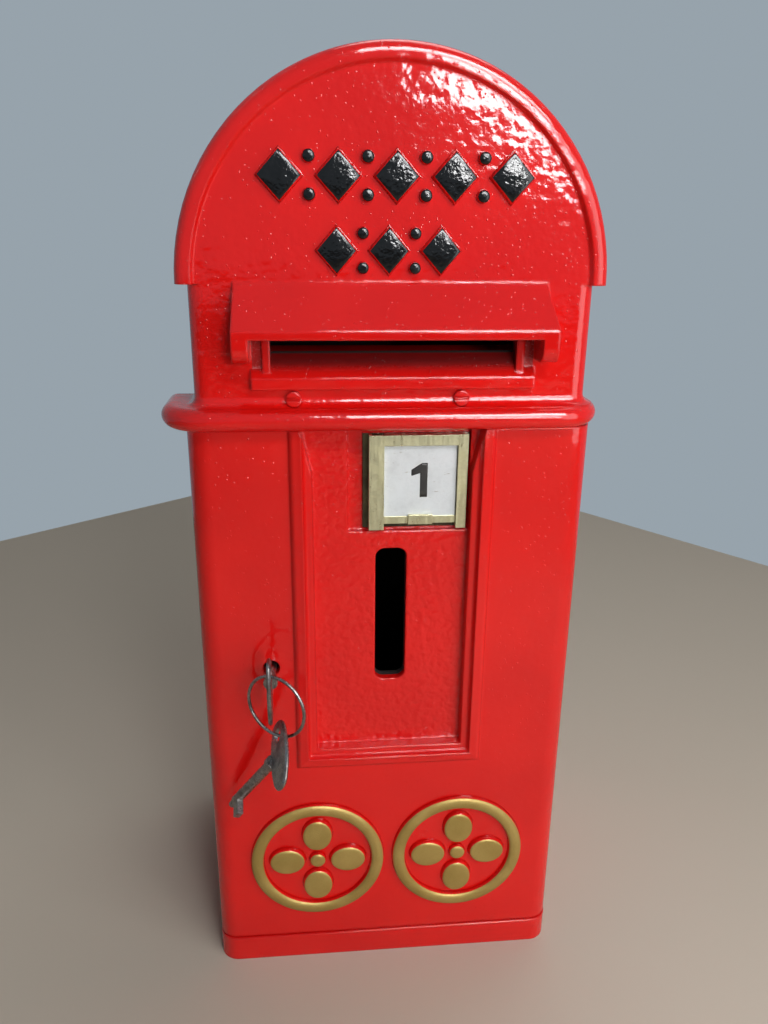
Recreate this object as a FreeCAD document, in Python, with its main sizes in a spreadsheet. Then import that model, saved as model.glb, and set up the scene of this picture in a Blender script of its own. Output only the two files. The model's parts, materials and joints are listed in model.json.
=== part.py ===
"""Cast-iron wall letter box used as a money box: hooded body, hinged door, lock, keys and number tablet.

Frame: +Z up, the door faces -Y, the origin is the middle of the base's underside.
Lengths are millimetres and angles are degrees.
"""
import FreeCAD, Part
import Sketcher
import math
import os
from FreeCAD import Placement, Rotation, Vector

SIZES = {
    # Body casting
    "box_depth": 150,
    "lower_width": 186,
    "upper_width": 176.4,
    "wall": 6,
    "floor_thickness": 6,
    "ledge_underside": 305,
    "spring_height": 367.1,
    "lower_corner": 10,
    "upper_corner": 7,
    "shoulder_slope": 4.8,
    # Hood rim: a moulding that runs round the arch
    "rim_overhang": 4.7,
    "rim_width": 7,
    "rim_proud": 2,
    "rim_depth": 16,
    "rim_round": 4.5,
    "rim_bevel": 1.2,
    # Ledge over the door
    "ledge_left": 104,
    "ledge_right": 96,
    "ledge_proud": 9.5,
    "ledge_corner": 22,
    "ledge_return": 32,
    "ledge_root": 17,
    "ledge_nose": 5,
    "ledge_cove": 4.2,
    "ledge_cove_sunk": 2.5,
    # Cowl over the posting aperture; its top stands in from its foot by this much at the left and right
    "cowl_width": 139,
    "cowl_top_left": 0.9,
    "cowl_top_right": 3.5,
    "cowl_proud": 14.5,
    "cowl_top": 368.4,
    "cowl_brow": 349.3,
    "cowl_lip": 3.6,
    "cowl_lip_depth": 3.5,
    "cowl_skin": 4.5,
    "cheek_width": 7,
    "cheek_foot": 335.5,
    "cheek_round": 6,
    # Aperture and its surround
    "aperture_width": 108,
    "aperture_sill": 328,
    "aperture_ramp": 338.5,
    "aperture_head": 358,
    "surround_width": 125,
    "surround_foot": 323,
    "surround_proud": 4,
    "pilaster": 3.5,
    "pilaster_proud": 2,
    # Fixing holes through the back
    "fixing_across": 110,
    "fixing_apart": 200,
    "fixing_low": 70,
    "fixing_radius": 4.5,
    # Door casting
    "sill_height": 14.6,
    "sill_nose": 0.8,
    "door_gap": 0.8,
    "jamb_gap": 0.6,
    "door_return": 24,
    "hinge_bead": 5,
    "hinge_jamb_gap": 2,
    "hinge_inset": 5,
    "pin_radius": 2.5,
    "pin_clearance": 0.06,
    "pin_length": 14,
    "pin_seat": 6.5,
    "pin_head_radius": 4,
    "pin_head": 3,
    # Recess in the door, its moulding and its slot
    "moulding_width": 10,
    "moulding_proud": 3,
    "moulding_cove": 2.8,
    "moulding_rise": 2.3,
    "moulding_crown": 9,
    "moulding_roll": 4,
    "recess_width": 74,
    "recess_foot": 136,
    "recess_depth": 6,
    "recess_draft": 0.5,
    "recess_flare": 6,
    "recess_flare_start": 283,
    "tray_wall": 6,
    "tray_back": 14,
    "slot_width": 15.2,
    "slot_offset": 0.3,
    "slot_foot": 172.5,
    "slot_height": 71.7,
    "slot_corner": 4.5,
    # Number tablet and its brass holder
    "pocket_left": 20.5,
    "pocket_foot": 253,
    "pocket_depth": 3,
    "holder_left": 13.4,
    "holder_right": 36.4,
    "holder_foot": 254.6,
    "holder_height": 45.9,
    "holder_plate": 1.5,
    "channel_left": 10.8,
    "channel_lip": 7.1,
    "channel_sheet": 1.5,
    "channel_depth": 4.6,
    "stop_bar": 4.7,
    "rail_height": 5,
    "foot_rail": 3.6,
    "foot_rail_rise": 2.4,
    "tablet_thickness": 2,
    "tablet_clearance": 0.3,
    "tablet_lift": 3,
    "clip_width": 11.5,
    "clip_height": 4.6,
    "clip_offset": 13.7,
    "rivet_radius": 1.5,
    "rivet_head_radius": 2.8,
    "rivet_head": 1.3,
    "rivet_spacing": 18,
    # Lock
    "key_left": 58.8,
    "key_height": 184.5,
    "keyhole_radius": 4.1,
    "keyhole_slot": 4,
    "keyhole_drop": 10,
    "lock_left": 77,
    "lock_width": 39,
    "lock_drop": 16,
    "lock_height": 42,
    "lock_front": 18,
    "lock_depth": 18,
    "lock_sheet": 2,
    "lock_screw_inset": 4,
    "lock_screw_radius": 1.7,
    "lock_boss_radius": 4.2,
    "lock_screw_head": 1.8,
    "lock_screw_head_radius": 3,
    "lock_screw_bite": 9,
    "bolt_thickness": 6,
    "bolt_setback": 6,
    "bolt_rise": 3.2,
    "bolt_height": 12.6,
    "bolt_end": 0.5,
    "bolt_tail": 18,
    "bolt_throw": 8,
    "bolt_clearance": 0.3,
    "talon_near": 5.8,
    "talon_far": 15.6,
    "talon_height": 6.8,
    "stump_radius": 2,
    "stump_left": 70,
    "spring_sheet": 0.8,
    "spring_width": 4,
    # Keeper on the jamb
    "keeper_sheet": 2,
    "keeper_lip": 7.5,
    "keeper_front": 19.5,
    "keeper_lip_depth": 3.5,
    "keeper_length": 40,
    "keeper_height": 34,
    "keeper_screw_radius": 1.8,
    "keeper_screw_head_radius": 3.4,
    "keeper_screw_head": 1.6,
    "keeper_screw_spacing": 20,
    # Letter guard behind the aperture
    "guard_sheet": 2,
    "guard_foot": 311,
    "guard_bend": 330,
    "guard_reach": 36,
    "guard_rise": 6,
    "guard_width": 150,
    "guard_screw_left": 44.3,
    "guard_screw_right": 30.2,
    "guard_screw_height": 318.6,
    "guard_screw_radius": 2.4,
    "guard_head_radius": 3.5,
    "guard_head": 2.6,
    "guard_head_slot": 1.2,
    "guard_head_gap": 0.3,
    "guard_nut": 8.4,
    "guard_nut_thickness": 3.6,
    # Keys and ring
    "key_bow_long": 34,
    "key_bow_short": 17,
    "key_bow_thick": 2,
    "key_bow_end": 6.5,
    "key_bow_chamfer": 0.7,
    "key_hole": 3.5,
    "key_hole_place": 9.6,
    "key_shank": 2.5,
    "key_tip": 1.7,
    "key_collar": 3.4,
    "key_reach": 57.8,
    "key_bit_start": 47,
    "key_bit_length": 5.4,
    "key_bit_radius": 9,
    "key_bit_thick": 3,
    "key_out": 22,
    "key_running": 0.05,
    "ring_radius": 15.6,
    "ring_wire": 0.8,
    "ring_clearance": 1.4,
    "ring_turn_angle": 33,
    "ring_hang_angle": 12,
    "spare_place_angle": 4,
    "spare_yaw_angle": 16,
    "spare_pitch_angle": 22.2,
    "spare_roll_angle": -58.4,
}

doc = FreeCAD.newDocument("letter_box")
sheet = doc.addObject("Spreadsheet::Sheet", "Sizes")
for row, (alias, number) in enumerate(SIZES.items(), start=1):
    sheet.set(f"A{row}", alias)
    sheet.set(f"B{row}", str(number))
    sheet.setAlias(f"B{row}", alias)
doc.recompute()


class Size:
    """A length or angle that knows both its value and the sheet formula it comes from."""

    def __init__(self, value, formula):
        self.value = value
        self.formula = formula

    @staticmethod
    def of(other):
        if isinstance(other, Size):
            return other
        return Size(other, f"({other})")

    def __add__(self, other):
        other = Size.of(other)
        return Size(self.value + other.value, f"({self.formula} + {other.formula})")

    def __sub__(self, other):
        other = Size.of(other)
        return Size(self.value - other.value, f"({self.formula} - {other.formula})")

    def __mul__(self, other):
        other = Size.of(other)
        return Size(self.value * other.value, f"({self.formula} * {other.formula})")

    def __truediv__(self, other):
        other = Size.of(other)
        return Size(self.value / other.value, f"({self.formula} / {other.formula})")

    def __neg__(self):
        return Size(-self.value, f"(-1 * {self.formula})")

    def __radd__(self, other):
        return Size.of(other) + self

    def __rsub__(self, other):
        return Size.of(other) - self

    def __rmul__(self, other):
        return Size.of(other) * self


def size(alias):
    return Size(float(sheet.get(alias)), f"{sheet.Name}.{alias}")


pieces = []


def bind(thing, name, amount):
    """Tie one property of a document object to a sheet formula."""
    thing.setExpression(name, Size.of(amount).formula)


def new_body(label):
    body = doc.addObject("PartDesign::Body", label)
    body.Label = label
    pieces.append(body)
    return body


def sketch_on(body, role, name, away=0, up=0):
    """Empty sketch parallel to one of the body's planes, `away` along its normal and `up` in it."""
    plane = next(item for item in body.Origin.OriginFeatures if item.Role == role)
    sketch = body.newObject("Sketcher::SketchObject", name)
    sketch.AttachmentSupport = [(plane, "")]
    sketch.MapMode = "FlatFace"
    bind(sketch, "AttachmentOffset.Base.z", away)
    bind(sketch, "AttachmentOffset.Base.y", up)
    return sketch


def front_sketch(body, name, y, up=0):
    """Sketch in the front view, X across and Z up, that stands at depth y."""
    return sketch_on(body, "XZ_Plane", name, -Size.of(y), up)


def plan_sketch(body, name, z):
    return sketch_on(body, "XY_Plane", name, z)


def side_sketch(body, name, x, up=0):
    """Sketch in the side view, Y across and Z up, that stands at x."""
    return sketch_on(body, "YZ_Plane", name, x, up)


def fix_point(sketch, geometry, end, point):
    for kind, amount in zip(("DistanceX", "DistanceY"), point):
        amount = Size.of(amount)
        index = sketch.addConstraint(Sketcher.Constraint(kind, -1, 1, geometry, end, amount.value))
        sketch.setExpression(f"Constraints[{index}]", amount.formula)


def fix_radius(sketch, geometry, radius):
    index = sketch.addConstraint(Sketcher.Constraint("Radius", geometry, radius.value))
    sketch.setExpression(f"Constraints[{index}]", radius.formula)


def arc_between(start, end, radius, left_turn):
    """Arc from start to end that turns left or right, with the shorter sweep."""
    chord = end - start
    middle = (start + end) * 0.5
    height = math.sqrt(max(radius * radius - chord.Length ** 2 / 4, 0))
    across = Vector(-chord.y, chord.x, 0).normalize()
    centre = middle + across * (height if left_turn else -height)
    first, last = (start, end) if left_turn else (end, start)
    angles = [math.atan2(point.y - centre.y, point.x - centre.x) for point in (first, last)]
    return Part.ArcOfCircle(Part.Circle(centre, Vector(0, 0, 1), radius), *angles)


def draw(sketch, steps, closed=True):
    """Line of runs and arcs through the steps.

    A step is (x, y), reached by a straight run, or (x, y, radius), reached by an arc.
    A positive radius turns left along the way and a negative one turns right.
    """
    points = [Vector(Size.of(step[0]).value, Size.of(step[1]).value, 0) for step in steps]
    count = len(steps)
    ends = []
    for index in range(count if closed else count - 1):
        following = (index + 1) % count
        step = steps[following]
        if len(step) == 3:
            bend = Size.of(step[2])
            left_turn = bend.value > 0
            bend = bend if left_turn else -bend
            number = sketch.addGeometry(arc_between(points[index], points[following], bend.value, left_turn))
            fix_radius(sketch, number, bend)
            ends.append((number, 1, 2) if left_turn else (number, 2, 1))
        else:
            number = sketch.addGeometry(Part.LineSegment(points[index], points[following]))
            ends.append((number, 1, 2))
    for index, (number, start, end) in enumerate(ends):
        fix_point(sketch, number, start, steps[index][:2])
        if closed or index + 1 < len(ends):
            after = ends[(index + 1) % len(ends)]
            sketch.addConstraint(Sketcher.Constraint("Coincident", number, end, after[0], after[1]))
        else:
            fix_point(sketch, number, end, steps[index + 1][:2])


def draw_box(sketch, left, right, low, high):
    draw(sketch, [(left, low), (right, low), (right, high), (left, high)])


def draw_plan(sketch, half, near, far, bend):
    """Plan of a box with rounded corners on its near, front side."""
    draw(sketch, [
        (bend - half, near, bend), (half - bend, near), (half, near + bend, bend), (half, far), (-half, far),
        (-half, near + bend),
    ])


def draw_arch(sketch, half, spring, foot):
    """Upright sides from foot to spring under a half circle."""
    crown = spring + half
    draw(sketch, [(-half, foot), (half, foot), (half, spring), (0, crown, half), (-half, spring, half)])


def draw_circle(sketch, x, y, radius):
    x, y, radius = Size.of(x), Size.of(y), Size.of(radius)
    circle = Part.Circle(Vector(x.value, y.value, 0), Vector(0, 0, 1), radius.value)
    number = sketch.addGeometry(circle)
    fix_point(sketch, number, 3, (x, y))
    fix_radius(sketch, number, radius)


def volume_of(body):
    doc.recompute()
    return 0 if body.Shape.isNull() else body.Shape.Volume


def grow(body, sketch, length):
    """Pad a sketch along its normal and make sure that it added material."""
    before = volume_of(body)
    feature = body.newObject("PartDesign::Pad", sketch.Name + "_pad")
    feature.Profile = sketch
    bind(feature, "Length", length)
    if volume_of(body) <= before:
        raise RuntimeError(f"{feature.Name} adds nothing")
    return feature


def cut(body, sketch, length):
    """Pocket a sketch against its normal and make sure that it took material away."""
    before = volume_of(body)
    feature = body.newObject("PartDesign::Pocket", sketch.Name + "_pocket")
    feature.Profile = sketch
    bind(feature, "Length", length)
    if volume_of(body) >= before:
        raise RuntimeError(f"{feature.Name} cuts nothing")
    return feature


def round_edges(body, test, radius, kind="PartDesign::Fillet", name="round"):
    """Fillet, or chamfer, every edge of the body that passes the test."""
    doc.recompute()
    base = body.Tip
    names = [f"Edge{number}" for number, edge in enumerate(base.Shape.Edges, start=1) if test(edge)]
    if not names:
        raise RuntimeError(f"{body.Label}: no edge to round for {name}")
    feature = body.newObject(kind, f"{body.Name}_{name}")
    feature.Base = (base, names)
    bind(feature, "Radius" if kind.endswith("Fillet") else "Size", radius)
    doc.recompute()
    return feature


def lying_at(*places):
    """Test for the highest edges that run front to back at one of the x places."""
    def test(edge):
        first, last = edge.Vertexes[0].Point, edge.Vertexes[-1].Point
        along = abs(first.y - last.y) > 1 and abs(first.x - last.x) + abs(first.z - last.z) < 1e-3
        high = abs(first.z - ledge_underside.value) < 1e-3
        return along and high and any(abs(first.x - x.value) < 1e-3 for x in places)
    return test


def in_one_plane(edge):
    """Test for edges that keep to one x place, such as the rims of a plate seen from the side."""
    return abs(edge.Vertexes[0].X - edge.Vertexes[-1].X) < 1e-6


def solid(kind, name, x, y, z, turn=None, **dimensions):
    """Part primitive with every dimension and its place tied to the sheet."""
    thing = doc.addObject(f"Part::{kind}", name)
    if turn is not None:
        thing.Placement = Placement(Vector(0, 0, 0), turn)
    for key, amount in dimensions.items():
        bind(thing, key, amount)
    for axis, amount in zip("xyz", (x, y, z)):
        bind(thing, f"Placement.Base.{axis}", amount)
    return thing


ALONG_Y = Rotation(Vector(1, 0, 0), -90)
ALONG_X = Rotation(Vector(0, 1, 0), 90)


def together(label, kind, *things):
    """Final piece made of several solids: joined (MultiFuse) or side by side (Compound)."""
    result = doc.addObject(f"Part::{kind}", label)
    if kind == "Compound":
        result.Links = list(things)
    else:
        result.Shapes = list(things)
    result.Label = label
    pieces.append(result)
    return result


def less(name, base, tool):
    result = doc.addObject("Part::Cut", name)
    result.Base = base
    result.Tool = tool
    return result


def joined(name, *things):
    result = doc.addObject("Part::MultiFuse", name)
    result.Shapes = list(things)
    return result


# Shared places
wall = size("wall")
front = -size("box_depth") / 2
back = size("box_depth") / 2
lower_half = size("lower_width") / 2
upper_half = size("upper_width") / 2
ledge_underside = size("ledge_underside")
spring_line = size("spring_height")
sill_top = size("sill_height")
door_foot = sill_top + size("door_gap")
door_head = ledge_underside - size("door_gap")
hinge_x = lower_half - size("hinge_inset")
hinge_y = front + size("door_return")
key_x = -size("key_left")
key_z = size("key_height")
panel_back = front + wall
tray_back = front + size("tray_back")
recess_floor = front + size("recess_depth")
pocket_floor = recess_floor + size("pocket_depth")
guard_screw_places = [
    (-size("guard_screw_left"), size("guard_screw_height")),
    (size("guard_screw_right"), size("guard_screw_height")),
]
lock_left = -size("lock_left")
lock_right = lock_left + size("lock_width")
lock_low = key_z - size("lock_drop")
lock_high = lock_low + size("lock_height")
lock_front = front + size("lock_front")
lock_back = lock_front + size("lock_depth")
lock_screw_places = [
    (x, z)
    for x in (lock_left + size("lock_screw_inset"), lock_right - size("lock_screw_inset"))
    for z in (lock_low + size("lock_screw_inset"), lock_high - size("lock_screw_inset"))
]
rivet_x = size("holder_right") / 2 - size("holder_left") / 2
holder_middle = size("holder_foot") + size("holder_height") / 2
rivet_places = [(rivet_x, holder_middle - size("rivet_spacing") / 2),
                (rivet_x, holder_middle + size("rivet_spacing") / 2)]
keeper_z = key_z + size("bolt_rise") + size("bolt_height") / 2
jamb_x = -lower_half + wall
keeper_half_spacing = size("keeper_screw_spacing") / 2
keeper_screw_places = [keeper_z - keeper_half_spacing, keeper_z + keeper_half_spacing]
keeper_screw_y = front + size("keeper_front") + size("keeper_length") / 2 + size("keeper_lip_depth")


def body_casting():
    body = new_body("body_casting")
    deck = ledge_underside - wall

    plan = plan_sketch(body, "lower_plan", 0)
    draw_plan(plan, lower_half, front, back, size("lower_corner"))
    grow(body, plan, ledge_underside)
    shoulders = lying_at(-lower_half, lower_half)
    round_edges(body, shoulders, size("shoulder_slope"), "PartDesign::Chamfer", "shoulder")

    nose = size("sill_nose")
    plan = plan_sketch(body, "sill_plan", 0)
    draw_plan(plan, lower_half, front - nose, front + size("door_return"), size("lower_corner"))
    grow(body, plan, sill_top)

    plan = plan_sketch(body, "upper_plan", deck)
    draw_plan(plan, upper_half, front, back, size("upper_corner"))
    grow(body, plan, spring_line - deck)

    arch = front_sketch(body, "arch", back)
    draw(arch, [
        (upper_half, spring_line), (0, spring_line + upper_half, upper_half),
        (-upper_half, spring_line, upper_half),
    ])
    grow(body, arch, size("box_depth"))

    hood_rim(body)
    ledge(body)
    cowl(body)

    cavity = front_sketch(body, "hood_cavity", panel_back)
    draw_arch(cavity, upper_half - wall, spring_line, deck - wall)
    cut(body, cavity, size("box_depth") - 2 * wall)

    hinge_jamb = hinge_y + size("hinge_bead") + size("hinge_jamb_gap")
    latch_jamb = front + size("door_return") + size("jamb_gap")
    hinge_pocket = hinge_x - 2 * size("hinge_bead")
    inner_half = lower_half - wall
    cavity = plan_sketch(body, "lower_cavity", deck)
    draw(cavity, [
        (-inner_half, latch_jamb), (hinge_pocket, latch_jamb), (hinge_pocket, hinge_jamb),
        (inner_half, hinge_jamb), (inner_half, back - wall), (-inner_half, back - wall),
    ])
    cut(body, cavity, deck - size("floor_thickness"))

    outside = front - wall
    beyond = lower_half + wall
    doorway = plan_sketch(body, "doorway", ledge_underside)
    draw(doorway, [
        (-beyond, outside), (beyond, outside), (beyond, hinge_jamb), (hinge_pocket, hinge_jamb),
        (hinge_pocket, latch_jamb), (-beyond, latch_jamb),
    ])
    cut(body, doorway, ledge_underside - sill_top)

    aperture(body)

    holes = front_sketch(body, "fixing_holes", back - 2 * wall)
    for x in (-size("fixing_across") / 2, size("fixing_across") / 2):
        for z in (size("fixing_low"), size("fixing_low") + size("fixing_apart")):
            draw_circle(holes, x, z, size("fixing_radius"))
    cut(body, holes, 3 * wall)

    holes = front_sketch(body, "guard_screw_holes", front - wall)
    for x, z in guard_screw_places:
        draw_circle(holes, x, z, size("guard_screw_radius"))
    cut(body, holes, 3 * wall)
    seats = front_sketch(body, "guard_screw_seats", front - size("ledge_cove"))
    for x, z in guard_screw_places:
        draw_circle(seats, x, z, size("guard_head_radius") + size("guard_head_gap"))
    cut(body, seats, size("ledge_cove"))

    hole = plan_sketch(body, "upper_pin_hole", ledge_underside + size("pin_seat"))
    draw_circle(hole, hinge_x, hinge_y, size("pin_radius"))
    cut(body, hole, size("pin_seat"))

    hole = plan_sketch(body, "lower_pin_hole", sill_top)
    draw_circle(hole, hinge_x, hinge_y, size("pin_radius"))
    cut(body, hole, sill_top)
    hole = plan_sketch(body, "lower_pin_seat", size("pin_head") + size("door_gap"))
    draw_circle(hole, hinge_x, hinge_y, size("pin_head_radius"))
    cut(body, hole, size("pin_head") + size("door_gap"))

    holes = side_sketch(body, "keeper_screw_holes", jamb_x)
    for z in keeper_screw_places:
        draw_circle(holes, keeper_screw_y, z, size("keeper_screw_radius"))
    cut(body, holes, wall - size("jamb_gap"))


def hood_rim(body):
    """Moulding with a rounded outer edge and a bevelled inner one, turned half round the arch."""
    outer = upper_half + size("rim_overhang")
    inner = outer - size("rim_width")
    face = front - size("rim_proud")
    rear = face + size("rim_depth")
    rim_round = size("rim_round")
    profile = side_sketch(body, "rim_profile", 0, spring_line)
    draw(profile, [
        (rear, inner - size("rim_bevel")),
        (rear, outer),
        (face + rim_round, outer),
        (face, outer - rim_round, rim_round),
        (face, inner),
        (front, inner - size("rim_bevel")),
    ])
    before = volume_of(body)
    rim = body.newObject("PartDesign::Revolution", "rim")
    rim.Profile = profile
    rim.ReferenceAxis = (profile, ["H_Axis"])
    rim.Midplane = True
    rim.Angle = 180
    if volume_of(body) <= before:
        raise RuntimeError("the hood rim adds nothing")


def sweep_round(body, path, profile, edges, name, corner="Transformed"):
    """Moulding of one profile along that many edges of a path."""
    doc.recompute()
    before = volume_of(body)
    moulding = body.newObject("PartDesign::AdditivePipe", name)
    moulding.Profile = profile
    moulding.Spine = (path, [f"Edge{number}" for number in range(1, edges + 1)])
    moulding.Transition = corner
    if volume_of(body) <= before:
        raise RuntimeError(f"{name} adds nothing")


def ledge(body):
    """Drip ledge over the door: half-round nose swept round the front and two short returns, coved above."""
    left = -size("ledge_left")
    right = size("ledge_right")
    nose_y = front - size("ledge_proud")
    end_y = front + size("ledge_return")
    bend = size("ledge_corner")
    middle = ledge_underside + size("ledge_nose")
    path = plan_sketch(body, "ledge_path", ledge_underside)
    draw(path, [
        (left, end_y), (left, nose_y + bend), (left + bend, nose_y, bend),
        (right - bend, nose_y), (right, nose_y + bend, bend), (right, end_y),
    ], closed=False)
    profile = front_sketch(body, "ledge_profile", end_y)
    nose = size("ledge_nose")
    root = left + size("ledge_root")
    head = middle + nose
    draw(profile, [
        (root, ledge_underside), (root, head), (left + nose, head), (left, middle, nose),
        (left + nose, ledge_underside, nose),
    ])
    sweep_round(body, path, profile, 5, "ledge")

    cove = size("ledge_cove")
    sunk = size("ledge_cove_sunk")
    bend = size("upper_corner")
    path = plan_sketch(body, "cove_path", head)
    draw(path, [
        (-upper_half, end_y), (-upper_half, front + bend), (bend - upper_half, front, bend),
        (upper_half - bend, front), (upper_half, front + bend, bend), (upper_half, end_y),
    ], closed=False)
    profile = front_sketch(body, "cove_profile", end_y)
    draw(profile, [
        (sunk - upper_half, head - sunk), (sunk - upper_half, head + cove), (-upper_half, head + cove),
        (-upper_half - cove, head, -cove), (-upper_half - cove, head - sunk),
    ])
    sweep_round(body, path, profile, 5, "ledge_cove")


def cowl(body):
    """Sloping hood over the aperture: wedge that widens downwards, hollowed between two rounded cheeks."""
    half = size("cowl_width") / 2
    brow = front - size("cowl_proud")
    lip_foot = size("cowl_brow") - size("cowl_lip")
    foot = size("cheek_foot")
    bend = size("cheek_round")
    profile = side_sketch(body, "cowl_profile", -half)
    draw(profile, [
        (front + wall / 2, foot), (front + wall / 2, size("cowl_top")), (front, size("cowl_top")),
        (brow, size("cowl_brow")), (brow, foot + bend), (brow + bend, foot, bend),
    ])
    grow(body, profile, size("cowl_width"))
    above = size("cowl_top") + wall
    sides = front_sketch(body, "cowl_sides", brow)
    for foot_x, beyond, head_x in ((-half, -half - wall, size("cowl_top_left") - half),
                                   (half, half + wall, half - size("cowl_top_right"))):
        draw(sides, [
            (foot_x, size("cowl_brow")), (beyond, size("cowl_brow")), (beyond, above), (head_x, above),
            (head_x, size("cowl_top")),
        ])
    cut(body, sides, size("cowl_proud"))
    hollow_half = half - size("cheek_width")
    lip_back = brow + size("cowl_lip_depth")
    hollow = side_sketch(body, "cowl_hollow", hollow_half)
    draw(hollow, [
        (brow - wall, foot - wall), (front, foot - wall), (front, size("cowl_top") - 2 * size("cowl_skin")),
        (lip_back, size("cowl_brow") - size("cowl_skin") / 4), (lip_back, lip_foot), (brow - wall, lip_foot),
    ])
    cut(body, hollow, 2 * hollow_half)


def aperture(body):
    """Raised sill that climbs inwards under the cowl, a post at each end and the posting slit between."""
    sill = size("aperture_sill")
    lip = front - size("surround_proud")
    climb = (size("aperture_ramp") - sill) / (panel_back - lip)
    sunk = front + wall / 2
    slope = side_sketch(body, "surround", -size("surround_width") / 2)
    draw(slope, [
        (sunk, size("surround_foot")), (sunk, sill + (sunk - lip) * climb), (lip, sill),
        (lip, size("surround_foot")),
    ])
    grow(body, slope, size("surround_width"))

    slit_half = size("aperture_width") / 2
    post_half = slit_half + size("pilaster")
    posts = front_sketch(body, "pilasters", sunk)
    for left, right in ((-post_half, -slit_half), (slit_half, post_half)):
        draw_box(posts, left, right, sill, size("cowl_brow") - size("cowl_lip") / 2)
    grow(body, posts, size("pilaster_proud") + wall / 2)

    outside = front - size("cowl_proud") + size("cowl_lip_depth")
    inside = panel_back + wall
    slit = side_sketch(body, "slit", slit_half)
    draw(slit, [
        (outside, sill), (lip, sill), (panel_back, size("aperture_ramp")),
        (inside, size("aperture_ramp")), (inside, size("aperture_head")), (front, size("aperture_head")),
        (front, size("cowl_brow") - size("cowl_lip")), (outside, size("cowl_brow") - size("cowl_lip")),
    ])
    cut(body, slit, size("aperture_width"))


def door_casting():
    body = new_body("door_casting")
    height = door_head - door_foot
    rear = front + size("door_return")
    bead = size("hinge_bead")

    plan = plan_sketch(body, "door_plan", door_foot)
    draw_plan(plan, lower_half, front, rear, size("lower_corner"))
    grow(body, plan, height)
    plan = plan_sketch(body, "hinge_bead", door_foot)
    draw_circle(plan, hinge_x, hinge_y, bead)
    grow(body, plan, height)

    inner_left = -lower_half + wall
    inner_right = hinge_x - bead
    plan = plan_sketch(body, "door_hollow", door_head)
    bend = size("lower_corner") - wall
    beyond = rear + bead + wall
    draw(plan, [
        (inner_left + bend, panel_back, bend), (inner_right - bend, panel_back),
        (inner_right, panel_back + bend, bend), (inner_right, beyond), (inner_left, beyond),
        (inner_left, panel_back + bend),
    ])
    cut(body, plan, height)

    tray_half = size("recess_width") / 2 + size("tray_wall")
    tray_foot = size("recess_foot") - size("tray_wall")
    tray = front_sketch(body, "tray", tray_back)
    draw_box(tray, -tray_half, tray_half, tray_foot, door_head)
    grow(body, tray, size("tray_back") - wall / 2)

    door_recess(body)

    slot_half = size("slot_width") / 2
    left = size("slot_offset") - slot_half
    right = size("slot_offset") + slot_half
    low = size("slot_foot")
    high = low + size("slot_height")
    bend = size("slot_corner")
    slot = front_sketch(body, "slot", front)
    draw_rounded_box(slot, left, right, low, high, bend)
    cut(body, slot, size("tray_back") + wall)

    holes = front_sketch(body, "keyhole", front - wall)
    draw_circle(holes, key_x, key_z, size("keyhole_radius"))
    cut(body, holes, 3 * wall)
    holes = front_sketch(body, "keyhole_slot", front - wall)
    half = size("keyhole_slot") / 2
    draw_box(holes, key_x - half, key_x + half, key_z - size("keyhole_drop"), key_z)
    cut(body, holes, 3 * wall)

    bosses = front_sketch(body, "lock_bosses", lock_front)
    for x, z in lock_screw_places:
        draw_circle(bosses, x, z, size("lock_boss_radius"))
    grow(body, bosses, size("lock_front") - wall / 2)
    holes = front_sketch(body, "lock_screw_holes", lock_front - size("lock_screw_bite"))
    for x, z in lock_screw_places:
        draw_circle(holes, x, z, size("lock_screw_radius"))
    cut(body, holes, size("lock_screw_bite"))

    holes = front_sketch(body, "rivet_holes", front)
    for x, z in rivet_places:
        draw_circle(holes, x, z, size("rivet_radius"))
    cut(body, holes, size("tray_back") + wall)

    bore = size("pin_radius") + size("pin_clearance")
    depth = size("pin_length") + size("door_gap")
    hole = plan_sketch(body, "upper_pin_bore", door_head)
    draw_circle(hole, hinge_x, hinge_y, bore)
    cut(body, hole, depth)
    hole = plan_sketch(body, "lower_pin_bore", door_foot + depth)
    draw_circle(hole, hinge_x, hinge_y, bore)
    cut(body, hole, depth)


def draw_rounded_box(sketch, left, right, low, high, bend):
    draw(sketch, [
        (left, low + bend), (left + bend, low, bend), (right - bend, low), (right, low + bend, bend),
        (right, high - bend), (right - bend, high, bend), (left + bend, high), (left, high - bend, bend),
    ])


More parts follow.
